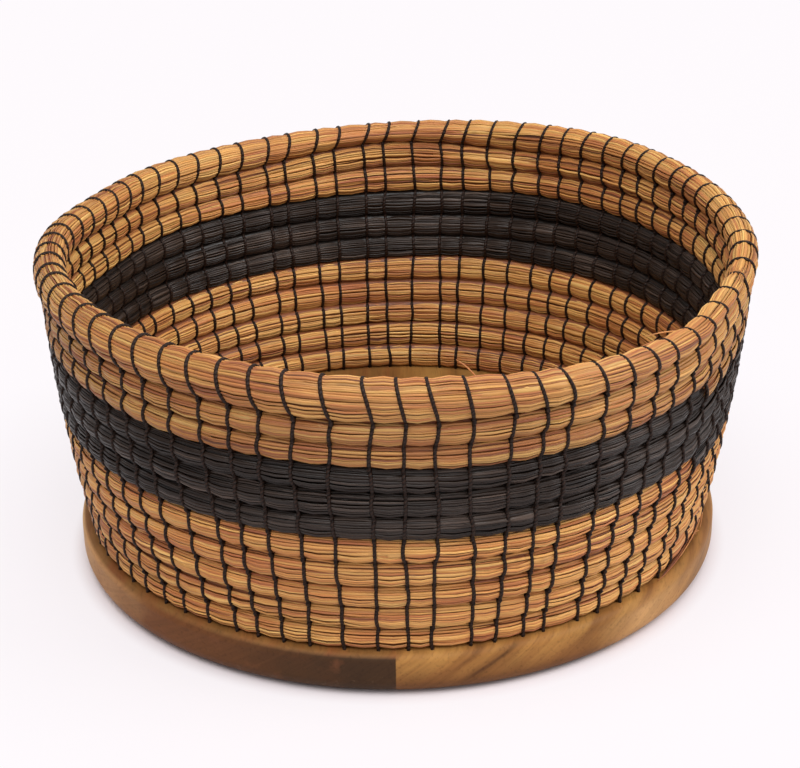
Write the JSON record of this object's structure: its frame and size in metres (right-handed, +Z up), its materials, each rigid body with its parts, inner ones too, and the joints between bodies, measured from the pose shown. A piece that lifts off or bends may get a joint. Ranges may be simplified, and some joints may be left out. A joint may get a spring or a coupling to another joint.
{
  "type": "pine needle basket",
  "caption": "Round open basket of coiled pine needles on a turned wooden base, stitched in upright columns with dark waxed thread and banded with dark-dyed rounds.",
  "frame": {"origin": "middle of the wooden base's underside, on the surface that the basket stands on", "axes": "+Z up, -Y towards the front of the picture, +X to its right"},
  "size_m": [0.2102, 0.2165, 0.1029],
  "materials": {
    "base_wood": "satin varnish over two-tone hardwood",
    "natural_needles": "dried golden tan needles, satin",
    "dark_needles": "needles dyed near black, satin",
    "waxed_thread": "dark brown waxed thread"
  },
  "bodies": {
    "root": {"wood_base": "base_wood", "lower_coil": "natural_needles", "dark_coil": "dark_needles", "upper_coil": "natural_needles", "stitch_pair_01": "waxed_thread", "stitch_pair_02": "waxed_thread", "stitch_pair_03": "waxed_thread", "stitch_pair_04": "waxed_thread", "stitch_pair_05": "waxed_thread", "stitch_pair_06": "waxed_thread", "stitch_pair_07": "waxed_thread", "stitch_pair_08": "waxed_thread", "stitch_pair_09": "waxed_thread", "stitch_pair_10": "waxed_thread", "stitch_pair_11": "waxed_thread", "stitch_pair_12": "waxed_thread", "stitch_pair_13": "waxed_thread", "stitch_pair_14": "waxed_thread", "stitch_pair_15": "waxed_thread", "stitch_pair_16": "waxed_thread", "stitch_pair_17": "waxed_thread", "stitch_pair_18": "waxed_thread", "stitch_pair_19": "waxed_thread", "stitch_pair_20": "waxed_thread", "stitch_pair_21": "waxed_thread", "stitch_pair_22": "waxed_thread", "stitch_pair_23": "waxed_thread", "stitch_pair_24": "waxed_thread", "stitch_pair_25": "waxed_thread", "stitch_pair_26": "waxed_thread", "stitch_pair_27": "waxed_thread", "stitch_pair_28": "waxed_thread", "stitch_pair_29": "waxed_thread", "stitch_pair_30": "waxed_thread", "stitch_pair_31": "waxed_thread", "stitch_pair_32": "waxed_thread", "stitch_pair_33": "waxed_thread", "stitch_pair_34": "waxed_thread", "stitch_pair_35": "waxed_thread", "stitch_pair_36": "waxed_thread"}
  },
  "joints": []
}
